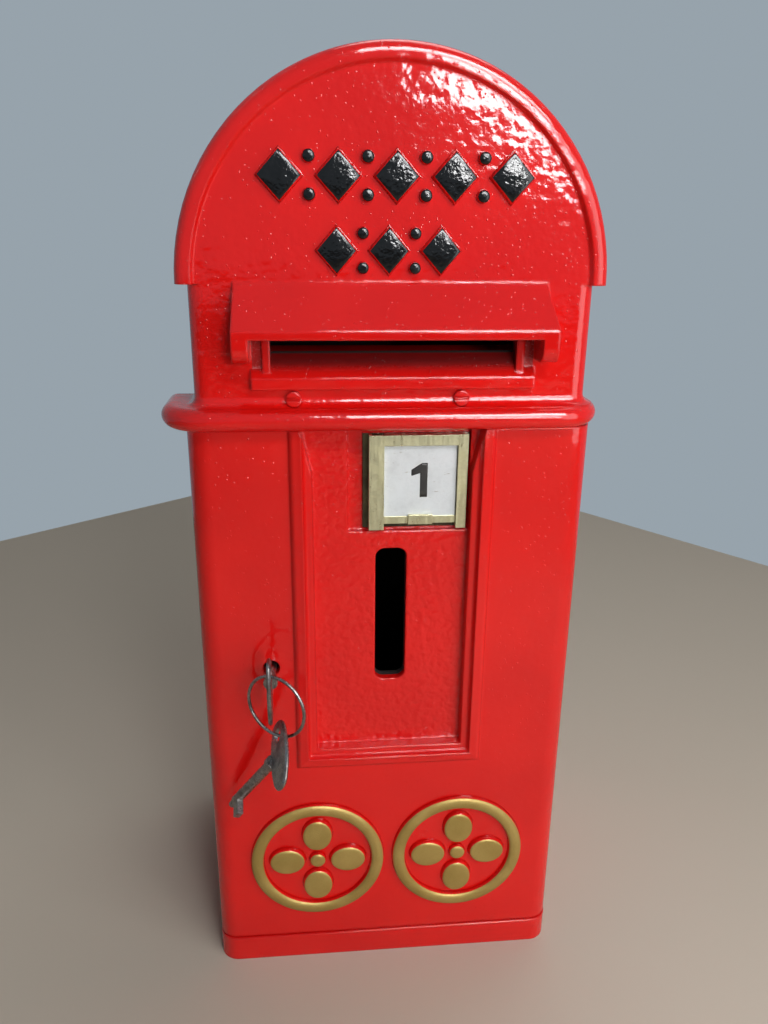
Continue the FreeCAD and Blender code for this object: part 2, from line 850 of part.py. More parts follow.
def door_recess(body):
    """Coved and rounded moulding swept round three sides of a recess whose mouth flares below the ledge."""
    floor_half = size("recess_width") / 2
    mouth_half = floor_half + size("recess_draft")
    mouth_foot = size("recess_foot") - size("recess_draft")
    outer_half = mouth_half + size("moulding_width")
    cove = size("moulding_cove")
    sunk = front + wall / 2
    path = front_sketch(body, "moulding_path", front)
    draw(path, [
        (-outer_half, door_head), (-outer_half, mouth_foot - size("moulding_width")),
        (outer_half, mouth_foot - size("moulding_width")), (outer_half, door_head),
    ], closed=False)
    profile = plan_sketch(body, "moulding_profile", door_head)
    crest = front - size("moulding_proud")
    draw(profile, [
        (-outer_half, sunk), (-outer_half, front),
        (cove - outer_half, front - size("moulding_rise"), cove),
        (-mouth_half - size("moulding_roll"), crest, -size("moulding_crown")),
        (-mouth_half, crest + size("moulding_roll"), -size("moulding_roll")), (-mouth_half, sunk),
    ])
    sweep_round(body, path, profile, 3, "moulding", "Right corner")

    flare = size("recess_flare")
    flare_start = size("recess_flare_start")
    above = door_head + wall
    mouth = front_sketch(body, "recess_mouth", front - size("moulding_proud"))
    draw(mouth, [
        (-mouth_half, mouth_foot), (mouth_half, mouth_foot), (mouth_half, flare_start),
        (mouth_half + flare, above), (-mouth_half - flare, above), (-mouth_half, flare_start),
    ])
    floor = front_sketch(body, "recess_floor", recess_floor)
    draw(floor, [
        (-floor_half, size("recess_foot")), (floor_half, size("recess_foot")), (floor_half, flare_start),
        (floor_half + flare, above), (-floor_half - flare, above), (-floor_half, flare_start),
    ])
    before = volume_of(body)
    reveal = body.newObject("PartDesign::SubtractiveLoft", "reveal")
    reveal.Profile = mouth
    reveal.Sections = [floor]
    reveal.Ruled = True
    if volume_of(body) >= before:
        raise RuntimeError("the recess cuts nothing")
    pocket = front_sketch(body, "tablet_pocket", front)
    draw_box(pocket, -size("pocket_left"), floor_half, size("pocket_foot"), above)
    cut(body, pocket, size("recess_depth") + size("pocket_depth"))


def tablet_holder():
    """Soldered brass holder: back plate, edge channel, stop bar, top and foot rails, spring clip, rivets."""
    left = -size("holder_left")
    right = size("holder_right")
    foot = size("holder_foot")
    head = foot + size("holder_height")
    plate_front = pocket_floor - size("holder_plate")
    sheet_metal = size("channel_sheet")
    lip_front = plate_front - size("channel_depth")

    body = new_body("tablet_back_plate")
    plate = front_sketch(body, "back_plate", pocket_floor)
    draw_box(plate, left, right, foot, head)
    grow(body, plate, size("holder_plate"))
    holes = front_sketch(body, "back_plate_holes", plate_front)
    for x, z in rivet_places:
        draw_circle(holes, x, z, size("rivet_radius"))
    cut(body, holes, size("holder_plate"))

    channel_left = -size("channel_left")
    rail_foot = head - size("rail_height")
    body = new_body("tablet_channel")
    profile = plan_sketch(body, "channel_profile", foot)
    lip_right = channel_left + size("channel_lip")
    draw(profile, [
        (channel_left, lip_front), (lip_right, lip_front), (lip_right, lip_front + sheet_metal),
        (channel_left + sheet_metal, lip_front + sheet_metal), (channel_left + sheet_metal, plate_front),
        (channel_left, plate_front),
    ])
    grow(body, profile, size("holder_height"))

    bar_right = right - size("tablet_clearance") * 3
    bar_left = bar_right - size("stop_bar")
    body = new_body("tablet_stop_bar")
    profile = plan_sketch(body, "stop_bar_profile", foot)
    draw_box(profile, bar_left, bar_right, lip_front + sheet_metal / 2, plate_front)
    grow(body, profile, size("holder_height"))

    rail_left = lip_right
    body = new_body("tablet_top_rail")
    profile = side_sketch(body, "top_rail_profile", rail_left)
    lip_back = lip_front + sheet_metal
    draw(profile, [
        (lip_front, rail_foot), (lip_back, rail_foot), (lip_back, head - sheet_metal),
        (plate_front, head - sheet_metal), (plate_front, head), (lip_front, head),
    ])
    grow(body, profile, bar_left - rail_left)

    rail_low = foot + size("foot_rail_rise")
    rail_high = rail_low + size("foot_rail")
    rail_front = plate_front - size("tablet_thickness") - 2 * size("tablet_clearance")
    body = new_body("tablet_foot_rail")
    profile = side_sketch(body, "foot_rail_profile", rail_left)
    draw_box(profile, rail_front, plate_front, rail_low, rail_high)
    grow(body, profile, bar_left - rail_left)

    clip_half = size("clip_width") / 2
    clip_head = rail_low + size("clip_height")
    body = new_body("tablet_clip")
    profile = side_sketch(body, "clip_profile", size("clip_offset") - clip_half)
    draw_box(profile, rail_front - sheet_metal, rail_front, rail_low, clip_head)
    grow(body, profile, size("clip_width"))

    body = new_body("number_tablet")
    tablet_left = channel_left + sheet_metal + size("tablet_clearance")
    tablet_right = bar_left - size("tablet_clearance")
    tablet_head = head - sheet_metal - size("tablet_lift") - size("tablet_clearance")
    tablet = front_sketch(body, "tablet", plate_front - size("tablet_clearance"))
    draw_box(tablet, tablet_left, tablet_right, rail_high, tablet_head)
    grow(body, tablet, size("tablet_thickness"))

    rivets = []
    for number, (x, z) in enumerate(rivet_places):
        shank = solid("Cylinder", f"rivet_shank_{number}", x, plate_front, z, ALONG_Y,
                      Radius=size("rivet_radius"), Height=tray_back - plate_front)
        head_disc = solid("Cylinder", f"rivet_head_{number}", x, tray_back, z, ALONG_Y,
                          Radius=size("rivet_head_radius"), Height=size("rivet_head"))
        rivets.append(joined(f"rivet_{number}", shank, head_disc))
    together("tablet_rivets", "Compound", *rivets)


def lock():
    """Rim lock on the door's back: case, cover, fixing screws, sliding bolt and its friction spring."""
    sheet_metal = size("lock_sheet")
    inside_front = lock_front + sheet_metal
    inside_back = lock_back - sheet_metal
    bolt_low = key_z + size("bolt_rise")
    bolt_high = bolt_low + size("bolt_height")
    bolt_front = lock_front + size("bolt_setback")
    bolt_back = bolt_front + size("bolt_thickness")
    play = size("bolt_clearance")
    stump_x = -size("stump_left")
    stump_z = (bolt_low + bolt_high) / 2
    running = size("key_running")

    body = new_body("lock_case")
    case = front_sketch(body, "case", inside_back)
    draw_box(case, lock_left, lock_right, lock_low, lock_high)
    grow(body, case, size("lock_depth") - sheet_metal)
    hollow = front_sketch(body, "case_hollow", inside_front)
    draw_box(hollow, lock_left + sheet_metal, lock_right - sheet_metal,
             lock_low + sheet_metal, lock_high - sheet_metal)
    cut(body, hollow, size("lock_depth"))
    mouth = side_sketch(body, "bolt_mouth", lock_left + 2 * sheet_metal)
    draw_box(mouth, bolt_front - play, bolt_back + play, bolt_low - play, bolt_high + play)
    cut(body, mouth, 3 * sheet_metal)
    hole = front_sketch(body, "case_keyhole", lock_front - sheet_metal)
    draw_circle(hole, key_x, key_z, size("key_shank") + running)
    cut(body, hole, 3 * sheet_metal)
    hole = front_sketch(body, "case_keyhole_slot", lock_front - sheet_metal)
    half = size("keyhole_slot") / 2
    draw_box(hole, key_x - half, key_x + half, key_z - size("keyhole_drop"), key_z)
    cut(body, hole, 3 * sheet_metal)
    holes = front_sketch(body, "case_screw_holes", lock_front - sheet_metal)
    for x, z in lock_screw_places:
        draw_circle(holes, x, z, size("lock_screw_radius"))
    cut(body, holes, 3 * sheet_metal)
    stump = front_sketch(body, "stump", inside_back)
    draw_circle(stump, stump_x, stump_z, size("stump_radius"))
    grow(body, stump, inside_back - inside_front + sheet_metal / 2)

    body = new_body("lock_cover")
    cover = front_sketch(body, "cover", lock_back)
    draw_box(cover, lock_left, lock_right, lock_low, lock_high)
    grow(body, cover, sheet_metal)
    holes = front_sketch(body, "cover_holes", inside_back - sheet_metal)
    for x, z in lock_screw_places:
        draw_circle(holes, x, z, size("lock_screw_radius"))
    draw_circle(holes, key_x, key_z, size("key_tip") + running)
    cut(body, holes, 3 * sheet_metal)

    body = new_body("lock_bolt")
    tip = lock_left + size("bolt_end")
    tail = key_x + size("bolt_tail")
    near = key_x + size("talon_near")
    far = key_x + size("talon_far")
    notch = bolt_low + size("talon_height")
    bolt = front_sketch(body, "bolt", bolt_back)
    draw(bolt, [
        (tip, bolt_low), (near, bolt_low), (near, notch), (far, notch), (far, bolt_low), (tail, bolt_low),
        (tail, bolt_high), (tip, bolt_high),
    ])
    grow(body, bolt, size("bolt_thickness"))
    half = size("stump_radius") + play
    slot = front_sketch(body, "bolt_slot", bolt_front - play)
    draw_rounded_box(slot, stump_x - half, stump_x + half + size("bolt_throw"),
                     stump_z - half, stump_z + half, half - play / 3)
    cut(body, slot, size("bolt_thickness") + 2 * play)

    body = new_body("bolt_spring")
    top = lock_high - sheet_metal
    seat = bolt_high + play
    reach = (size("lock_width") - 4 * size("lock_screw_inset")) / 2
    middle = (lock_left + lock_right) / 2
    thick = size("spring_sheet")
    strip_back = (bolt_front + bolt_back) / 2 + size("spring_width") / 2
    strip = front_sketch(body, "spring_strip", strip_back)
    draw(strip, [
        (middle - reach, top - thick), (middle - reach / 3, seat), (middle + reach / 3, seat),
        (middle + reach, top - thick), (middle + reach, top), (middle + reach / 3, seat + thick),
        (middle - reach / 3, seat + thick), (middle - reach, top),
    ])
    grow(body, strip, size("spring_width"))

    screws = []
    for number, (x, z) in enumerate(lock_screw_places):
        start = lock_front - size("lock_screw_bite")
        shank = solid("Cylinder", f"lock_screw_shank_{number}", x, start, z, ALONG_Y,
                      Radius=size("lock_screw_radius"), Height=lock_back - start)
        head = solid("Cylinder", f"lock_screw_head_{number}", x, lock_back, z, ALONG_Y,
                     Radius=size("lock_screw_head_radius"), Height=size("lock_screw_head"))
        screws.append(joined(f"lock_screw_{number}", shank, head))
    together("lock_screws", "Compound", *screws)


def keeper():
    """Bent steel keeper on the latch jamb: the bolt shoots behind its lip."""
    body = new_body("bolt_keeper")
    sheet_metal = size("keeper_sheet")
    low = keeper_z - size("keeper_height") / 2
    outer = jamb_x
    inner = outer + sheet_metal
    lip_front = front + size("keeper_front")
    lip_back = lip_front + size("keeper_lip_depth")
    clear = outer + size("jamb_gap")
    jamb_front = front + size("door_return") + size("jamb_gap")
    end = lip_front + size("keeper_length")
    profile = plan_sketch(body, "keeper_profile", low)
    draw(profile, [
        (clear, lip_front), (clear + size("keeper_lip"), lip_front), (clear + size("keeper_lip"), lip_back),
        (inner, lip_back), (inner, end), (outer, end), (outer, jamb_front), (clear, jamb_front),
    ])
    grow(body, profile, size("keeper_height"))
    holes = side_sketch(body, "keeper_holes", inner)
    for z in keeper_screw_places:
        draw_circle(holes, keeper_screw_y, z, size("keeper_screw_radius"))
    cut(body, holes, sheet_metal)

    screws = []
    bite = wall - size("jamb_gap")
    for number, z in enumerate(keeper_screw_places):
        shank = solid("Cylinder", f"keeper_screw_shank_{number}", outer - bite, keeper_screw_y, z, ALONG_X,
                      Radius=size("keeper_screw_radius"), Height=bite + sheet_metal)
        head = solid("Cylinder", f"keeper_screw_head_{number}", inner, keeper_screw_y, z, ALONG_X,
                     Radius=size("keeper_screw_head_radius"), Height=size("keeper_screw_head"))
        screws.append(joined(f"keeper_screw_{number}", shank, head))
    together("keeper_screws", "Compound", *screws)


def letter_guard():
    """Bent plate behind the aperture, held by two slotted screws and square nuts."""
    body = new_body("letter_guard")
    thick = size("guard_sheet")
    half = size("guard_width") / 2
    inner = panel_back
    reach = panel_back + size("guard_reach")
    foot = size("guard_foot")
    bend = size("guard_bend")
    head = bend + size("guard_rise")
    profile = side_sketch(body, "guard_profile", -half)
    draw(profile, [
        (inner, foot), (inner + thick, foot), (inner + thick, bend - thick),
        (reach, head - thick), (reach, head), (inner, bend),
    ])
    grow(body, profile, size("guard_width"))
    holes = front_sketch(body, "guard_holes", inner)
    for x, z in guard_screw_places:
        draw_circle(holes, x, z, size("guard_screw_radius"))
    cut(body, holes, thick)

    screws = []
    nuts = []
    radius = size("guard_head_radius")
    head_front = front - size("guard_head")
    slot_width = size("guard_head_slot")
    nut = size("guard_nut")
    nut_front = inner + thick
    nut_back = nut_front + size("guard_nut_thickness")
    for number, (x, z) in enumerate(guard_screw_places):
        shank = solid("Cylinder", f"guard_screw_shank_{number}", x, front, z, ALONG_Y,
                      Radius=size("guard_screw_radius"), Height=nut_back - front)
        head = solid("Cylinder", f"guard_screw_head_{number}", x, head_front, z, ALONG_Y,
                     Radius=radius, Height=size("guard_head"))
        slot = solid("Box", f"guard_screw_slot_{number}", x - radius, head_front, z - slot_width / 2,
                     Length=2 * radius, Width=slot_width, Height=slot_width)
        screws.append(less(f"guard_screw_{number}", joined(f"guard_screw_blank_{number}", shank, head), slot))
        block = solid("Box", f"guard_nut_block_{number}", x - nut / 2, nut_front, z - nut / 2,
                      Length=nut, Width=size("guard_nut_thickness"), Height=nut)
        bore = solid("Cylinder", f"guard_nut_bore_{number}", x, nut_front, z, ALONG_Y,
                     Radius=size("guard_screw_radius"), Height=size("guard_nut_thickness"))
        nuts.append(less(f"guard_nut_{number}", block, bore))
    together("guard_screws", "Compound", *screws)
    together("guard_nuts", "Compound", *nuts)


def hinge_pins():
    """Dowel in the ledge and headed pivot through the sill; the door turns on both."""
    upper = solid("Cylinder", "upper_pin", hinge_x, hinge_y, door_head - size("pin_length"),
                  Radius=size("pin_radius"), Height=size("pin_length") + size("door_gap") + size("pin_seat"))
    collar = size("hinge_bead") - size("pin_clearance")
    filling = size("door_gap") - size("pin_clearance")
    together("hinge_pin_upper", "MultiFuse", upper, solid(
        "Cylinder", "upper_pin_collar", hinge_x, hinge_y, door_head + size("pin_clearance"),
        Radius=collar, Height=filling))
    lift = size("door_gap")
    shank = solid("Cylinder", "lower_pin_shank", hinge_x, hinge_y, lift,
                  Radius=size("pin_radius"), Height=door_foot + size("pin_length") - lift)
    head = solid("Cylinder", "lower_pin_head", hinge_x, hinge_y, lift,
                 Radius=size("pin_head_radius"), Height=size("pin_head"))
    together("hinge_pin_lower", "MultiFuse", shank, head)
    washer = solid("Cylinder", "washer_disc", hinge_x, hinge_y, sill_top, Radius=collar, Height=filling)
    bore = solid("Cylinder", "washer_bore", hinge_x, hinge_y, sill_top,
                 Radius=size("pin_radius"), Height=size("door_gap"))
    ring = less("hinge_washer", washer, bore)
    pieces.append(ring)


def flat_key(label):
    """Flat key about the middle of its bow: oval bow across the shank, collar, shank, tip and bit."""
    thick = size("key_bow_thick")
    tall = size("key_bow_long") / 2
    deep = size("key_bow_short") / 2
    end_round = size("key_bow_end")
    end_place = tall - end_round
    side_round = (deep * deep - end_round * end_round + end_place * end_place) / (2 * (deep - end_round))
    share = end_round / (side_round - end_round)
    meet_y = (side_round - deep) * share
    meet_z = end_place + end_place * share

    body = new_body(label)
    oval = side_sketch(body, f"{label}_oval", -thick / 2)
    draw(oval, [
        (meet_y, -meet_z, end_round), (meet_y, meet_z, side_round), (-meet_y, meet_z, end_round),
        (-meet_y, -meet_z, side_round),
    ])
    grow(body, oval, thick)
    round_edges(body, in_one_plane, size("key_bow_chamfer"), "PartDesign::Chamfer", "bevel")
    hole = side_sketch(body, f"{label}_hole", thick)
    draw_circle(hole, 0, size("key_hole_place"), size("key_hole"))
    cut(body, hole, 2 * thick)

    root = deep - thick / 2
    bit_end = size("key_bit_start") + size("key_bit_length")
    for name, radius, end in (("collar", size("key_collar"), deep + thick),
                              ("shank", size("key_shank"), bit_end),
                              ("tip", size("key_tip"), size("key_reach"))):
        round_bar = front_sketch(body, f"{label}_{name}", end)
        draw_circle(round_bar, 0, 0, radius)
        grow(body, round_bar, end - root)
    bit = front_sketch(body, f"{label}_bit", bit_end)
    half = size("key_bit_thick") / 2
    draw_box(bit, -half, half, -size("key_bit_radius"), 0)
    grow(body, bit, size("key_bit_length"))
    return body


def keys():
    """Key in the lock, ring through its bow and the spare that hangs on the ring."""
    bow_y = front - size("key_out")
    door_key = flat_key("door_key")
    for axis, amount in zip("xyz", (key_x, bow_y, key_z)):
        bind(door_key, f"Placement.Base.{axis}", amount)

    ring_radius = size("ring_radius")
    ring_top = key_z + size("key_hole_place") - size("key_hole") + size("ring_wire") + size("ring_clearance")
    turned = Rotation(Vector(0, 0, 1), -size("ring_turn_angle").value)
    hang = math.radians(size("ring_hang_angle").value)
    to_middle = turned.multVec(Vector(math.sin(hang), 0, -math.cos(hang)))
    middle = [start + ring_radius * share for start, share in zip((key_x, bow_y, ring_top), to_middle)]
    ring = solid("Torus", "key_ring", *middle, turned * ALONG_Y,
                 Radius1=ring_radius, Radius2=size("ring_wire"))
    pieces.append(ring)

    spare = flat_key("spare_key")
    yaw = size("spare_yaw_angle").value
    pitch = size("spare_pitch_angle").value
    roll = size("spare_roll_angle").value
    lean = Rotation(yaw, pitch, roll)
    along = math.radians(size("spare_place_angle").value)
    from_middle = Vector(math.sin(along), 0, -math.cos(along)) * ring_radius.value
    hung = Vector(*(amount.value for amount in middle)) + turned.multVec(from_middle)
    spare.Placement = Placement(hung - lean.multVec(Vector(0, 0, size("key_hole_place").value)), lean)


def check_and_write():
    doc.recompute()
    failed = [item.Name for item in doc.Objects if {"Invalid", "Error"} & set(item.State)]
    failed += [piece.Label for piece in pieces if piece.Shape.isNull() or not piece.Shape.isValid()]
    if failed:
        raise RuntimeError(f"these did not build: {failed}")
    os.makedirs("parts", exist_ok=True)
    for piece in pieces:
        piece.Shape.exportStep(f"parts/{piece.Label}.step")
        print(f"{piece.Label}: {len(piece.Shape.Solids)} solids, {piece.Shape.Volume:.1f} cubic millimetres")


body_casting()
letter_guard()
door_casting()
tablet_holder()
lock()
keeper()
hinge_pins()
keys()
check_and_write()
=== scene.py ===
import json
import math

import bmesh
import bpy
from mathutils import Matrix, Vector


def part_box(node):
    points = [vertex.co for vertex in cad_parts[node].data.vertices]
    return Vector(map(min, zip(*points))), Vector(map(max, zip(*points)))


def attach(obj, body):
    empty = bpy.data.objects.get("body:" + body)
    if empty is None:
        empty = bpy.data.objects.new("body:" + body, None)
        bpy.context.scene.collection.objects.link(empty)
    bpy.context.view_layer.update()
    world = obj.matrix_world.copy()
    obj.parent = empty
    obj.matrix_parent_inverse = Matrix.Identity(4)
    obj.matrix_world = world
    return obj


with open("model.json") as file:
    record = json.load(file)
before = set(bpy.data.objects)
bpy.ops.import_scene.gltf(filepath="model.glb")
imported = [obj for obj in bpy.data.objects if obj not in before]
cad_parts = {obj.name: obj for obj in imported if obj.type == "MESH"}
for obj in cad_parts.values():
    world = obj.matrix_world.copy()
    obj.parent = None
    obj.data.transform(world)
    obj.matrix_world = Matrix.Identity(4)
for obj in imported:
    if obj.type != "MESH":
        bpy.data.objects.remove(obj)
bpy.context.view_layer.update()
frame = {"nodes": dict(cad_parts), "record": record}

MM = 0.001

# Places on the castings, in metres
FRONT_FACE = -75 * MM
HOOD_CENTRE = 367.1 * MM
SLIT_HALF = 62 * MM
SLIT_FOOT = 327 * MM
SLIT_HEAD = 349 * MM
RECESS_HALF = 45 * MM
RECESS_FOOT = 135 * MM

# Limits just within the outer skin of the case, between its gloss outside and its bare inside
CASE_REACH = 87.4 * MM
CASE_BACK = 74.4 * MM
CASE_FLOOR = 5.4 * MM
CASE_FRONT = FRONT_FACE + 5.2 * MM

# The same for the door, whose recess and outer returns are glossy further in
DOOR_BACK = FRONT_FACE + 5.4 * MM
DOOR_RECESS_BACK = FRONT_FACE + 10 * MM
DOOR_RETURN = 86.6 * MM


class Wire:
    """A value in a finish's nodes: arithmetic on it adds Math nodes."""

    def __init__(self, finish, socket):
        self.finish = finish
        self.socket = socket

    def __add__(self, other):
        return self.finish.maths("ADD", self, other)

    def __radd__(self, other):
        return self.finish.maths("ADD", other, self)

    def __sub__(self, other):
        return self.finish.maths("SUBTRACT", self, other)

    def __rsub__(self, other):
        return self.finish.maths("SUBTRACT", other, self)

    def __mul__(self, other):
        return self.finish.maths("MULTIPLY", self, other)

    def __rmul__(self, other):
        return self.finish.maths("MULTIPLY", other, self)

    def __gt__(self, other):
        return self.finish.maths("GREATER_THAN", self, other)

    def __lt__(self, other):
        return self.finish.maths("LESS_THAN", self, other)

    def __abs__(self):
        return self.finish.maths("ABSOLUTE", self)

    def ramp(self, low, high, start=0.0, end=1.0):
        """Smooth climb from start to end as the value goes from low to high."""
        return self.finish.add(
            "ShaderNodeMapRange", {"interpolation_type": "SMOOTHSTEP"},
            {"Value": self, "From Min": low, "From Max": high, "To Min": start, "To Max": end})


class Finish:
    """The nodes of a material or of the world, added one call at a time."""

    def __init__(self, owner, shader="Principled BSDF"):
        owner.use_nodes = True
        self.owner = owner
        self.tree = owner.node_tree
        self.shader = self.tree.nodes[shader]

    def add(self, kind, settings=None, inputs=None, out=0):
        """Any node, with its settings and the values or links of its sockets; gives one of its outputs."""
        node = self.tree.nodes.new(kind)
        for key, value in (settings or {}).items():
            setattr(node, key, value)
        for key, value in (inputs or {}).items():
            self.put(node.inputs[key], value)
        return Wire(self, node.outputs[out])

    def put(self, socket, value):
        if isinstance(value, Wire):
            self.tree.links.new(value.socket, socket)
        else:
            socket.default_value = value

    def set(self, **values):
        """Shader sockets by name, with _ for a space."""
        for key, value in values.items():
            self.put(self.shader.inputs[key.replace("_", " ")], value)

    def maths(self, operation, *values):
        return self.add("ShaderNodeMath", {"operation": operation}, dict(enumerate(values)))

    def place(self):
        return self.add("ShaderNodeTexCoord", out="Object")

    def axes(self):
        split = self.add("ShaderNodeSeparateXYZ", inputs={"Vector": self.place()}).socket.node
        return [Wire(self, output) for output in split.outputs]

    def noise(self, grain, detail=3.0, roughness=0.5, stretch=(1, 1, 1)):
        """Noise whose largest blots are about one grain across, in metres."""
        spread = self.add("ShaderNodeMapping", inputs={"Vector": self.place(), "Scale": stretch})
        return self.add(
            "ShaderNodeTexNoise",
            inputs={"Vector": spread, "Scale": 1 / grain, "Detail": detail, "Roughness": roughness})

    def specks(self, apart, radius):
        """Small round pimples scattered through the casting, about that far apart, in metres."""
        near = self.add(
            "ShaderNodeTexVoronoi", {"feature": "F1"},
            {"Vector": self.place(), "Scale": 1 / apart}, out="Distance")
        return near.ramp(0.0, radius / apart, start=1.0, end=0.0)

    def seen(self):
        """1 to the camera, in a mirror image and through glass; 0 to rays that only bring light."""
        straight = self.add("ShaderNodeLightPath", out="Is Camera Ray")
        mirrored = self.add("ShaderNodeLightPath", out="Is Glossy Ray")
        through = self.add("ShaderNodeLightPath", out="Is Transmission Ray")
        return either(straight, either(mirrored, through))

    def blend(self, share, first, second):
        """Colour that goes from the first to the second as the share goes from 0 to 1."""
        return self.add(
            "ShaderNodeMix", {"data_type": "RGBA"}, {"Factor": share, 6: first, 7: second}, out=2)

    def bump(self, height, depth, strength, edge):
        """Relief of that depth in metres; edge is the radius that sharp edges seem to have."""
        rounded = self.add("ShaderNodeBevel", {"samples": 6}, {"Radius": edge})
        self.set(Normal=self.add(
            "ShaderNodeBump",
            inputs={"Height": height, "Distance": depth, "Strength": strength, "Normal": rounded}))


def new_finish(name):
    return Finish(bpy.data.materials.new(name))


def both(first, second):
    return first * second


def either(first, second):
    return 1 - (1 - first) * (1 - second)


def colour(red, green, blue):
    return (red, green, blue, 1.0)


RED = colour(0.76, 0.0080, 0.0060)
DEEP_RED = colour(0.68, 0.0060, 0.0050)
OXIDE = colour(0.030, 0.020, 0.018)
# Darker red painted in as shade under the cowl
PAINTED_SHADE_RED = colour(0.150, 0.0030, 0.0030)
ENAMEL_IOR = 1.5

# Roughness that the painted shade under the cowl and bare oxide add to the gloss
PAINTED_SHADE_DULLS = 0.3
OXIDE_DULLS = 0.5

# Heights of the casting's relief, in millimetres; the dimples also take the grain of their place
LUMP_HEIGHT = 0.26
DIMPLE_HEIGHT = 0.12
LEAST_DIMPLE = 0.02
GRIT_HEIGHT = 0.014
SPECK_HEIGHT = 0.2

# Grain of each place, from dressed smooth to rough as cast
TRIM_GRAIN = 0.35
DRESSED_GRAIN = 0.4
SCREW_GRAIN = 0.5
WALL_GRAIN = 0.95
RECESS_GRAIN = 7.4


def red_casting(name, grain=None, bare=None, painted_shade=None):
    """Thick gloss enamel on a casting.

    grain scales the dimples from place to place; the second mask is the unpainted inside, and the third is
    the hollow under the cowl, where a darker, duller red is painted in as shade.
    """
    finish = new_finish(name)
    lumps = finish.noise(12 * MM, detail=1.5)
    dimples = finish.noise(3.6 * MM, detail=1.5, roughness=0.45)
    grit = finish.noise(1.1 * MM, detail=2.0)
    specks = finish.specks(apart=2.7 * MM, radius=0.46 * MM)
    tone = finish.noise(60 * MM, detail=2.0)
    paint = finish.blend(tone.ramp(0.3, 0.7), DEEP_RED, RED)
    dullness = grit.ramp(0.3, 0.75, start=0.05, end=0.10)
    # Painted shade: under the cowl the red turns darker and duller
    if painted_shade:
        shade = painted_shade(finish)
        paint = finish.blend(shade, paint, PAINTED_SHADE_RED)
        dullness = dullness + shade * PAINTED_SHADE_DULLS
    if bare:
        inside = bare(finish)
        paint = finish.blend(inside, paint, OXIDE)
        dullness = dullness + inside * OXIDE_DULLS
    finish.set(Base_Color=paint, Roughness=dullness, IOR=ENAMEL_IOR)
    coarse = grain(finish) if grain else SCREW_GRAIN
    dimpled = dimples * (coarse * DIMPLE_HEIGHT + LEAST_DIMPLE)
    relief = lumps * LUMP_HEIGHT + dimpled + grit * GRIT_HEIGHT + specks * SPECK_HEIGHT
    finish.bump(relief, depth=1.0 * MM, strength=1.0, edge=1.6 * MM)
    return finish.owner


def case_grain(finish):
    """Coarser on the hood's front and the walls; the ledge, rim and cowl are smoother."""
    flat = finish.axes()[1] > FRONT_FACE - 1 * MM
    return TRIM_GRAIN + flat * (WALL_GRAIN - TRIM_GRAIN)


def door_grain(finish):
    """Far coarser on the floor of the recess; the rest of the door was dressed smooth."""
    x, y, z = finish.axes()
    recess = both(abs(x) < RECESS_HALF - 1 * MM, z > RECESS_FOOT)
    sunk = both(recess, y > FRONT_FACE + 5 * MM)
    return DRESSED_GRAIN + sunk * (RECESS_GRAIN - DRESSED_GRAIN)


def slit_painted_shade(finish):
    """Mask of the ramp and the posts under the cowl, where the red is darkened inwards as painted shade from
    the cowl.
    """
    x, y, z = finish.axes()
    under = both(abs(x) < SLIT_HALF, both(z > SLIT_FOOT, z < SLIT_HEAD))
    front_wall = both(under, y < FRONT_FACE + 10 * MM)
    return both(front_wall, y.ramp(FRONT_FACE - 4 * MM, FRONT_FACE + 3 * MM, start=0.05, end=1.0))


def case_inside(finish):
    """Mask of the case's inner faces: everything a little within the outer skin."""
    x, y, z = finish.axes()
    above = finish.maths("MAXIMUM", z - HOOD_CENTRE, 0.0)
    reach = finish.maths("SQRT", x * x + above * above)
    within = both(reach < CASE_REACH, y < CASE_BACK)
    return both(both(within, z > CASE_FLOOR), y > CASE_FRONT)


def door_inside(finish):
    """Mask of the door's back, apart from the recess that shows in front and the outer returns."""
    x, y, z = finish.axes()
    recess = both(abs(x) < RECESS_HALF, z > RECESS_FOOT)
    back = either(both(y > DOOR_BACK, 1 - recess), y > DOOR_RECESS_BACK)
    return both(back, abs(x) < DOOR_RETURN)


def black_enamel():
    """Thick gloss black on the raised ornament of the hood."""
    finish = new_finish("black_enamel")
    lumps = finish.noise(4.5 * MM, detail=2.0)
    grit = finish.noise(1.3 * MM, detail=2.0)
    jet = colour(0.003, 0.003, 0.0035)
    thin = colour(0.007, 0.007, 0.008)
    finish.set(Base_Color=finish.blend(lumps.ramp(0.4, 0.8), jet, thin),
               Roughness=grit.ramp(0.3, 0.7, start=0.06, end=0.12), IOR=ENAMEL_IOR)
    finish.bump(lumps * 0.30 + grit * 0.10, depth=1.0 * MM, strength=1.0, edge=1.2 * MM)
    return finish.owner


def gold_paint():
    """Brushed gold paint with fine metal flake in it."""
    finish = new_finish("gold_paint")
    lumps = finish.noise(5 * MM, detail=2.0)
    flake = finish.noise(0.8 * MM, detail=2.0)
    tone = finish.noise(20 * MM, detail=3.0)
    shaded = colour(0.36, 0.245, 0.060)
    fresh = colour(0.46, 0.325, 0.095)
    finish.set(Base_Color=finish.blend(tone.ramp(0.3, 0.75), shaded, fresh),
               Roughness=flake.ramp(0.3, 0.7, start=0.38, end=0.55), Metallic=0.45)
    finish.bump(lumps * 0.6 + flake * 0.35, depth=0.6 * MM, strength=0.7, edge=0.8 * MM)
    return finish.owner


def aged_brass(name, bright, dull):
    """Brass with upright scratches, dulled in patches."""
    finish = new_finish(name)
    tarnish = finish.noise(9 * MM, detail=4.0, roughness=0.6)
    scratch = finish.noise(1.2 * MM, detail=2.0, roughness=0.5, stretch=(1, 1, 0.08))
    worn = tarnish.ramp(0.38, 0.68)
    finish.set(Base_Color=finish.blend(worn, bright, dull),
               Roughness=worn * 0.16 + scratch.ramp(0.3, 0.7, start=0.24, end=0.36), Metallic=1.0)
    finish.bump(scratch * 0.6 + tarnish * 0.4, depth=0.12 * MM, strength=0.6, edge=0.3 * MM)
    return finish.owner


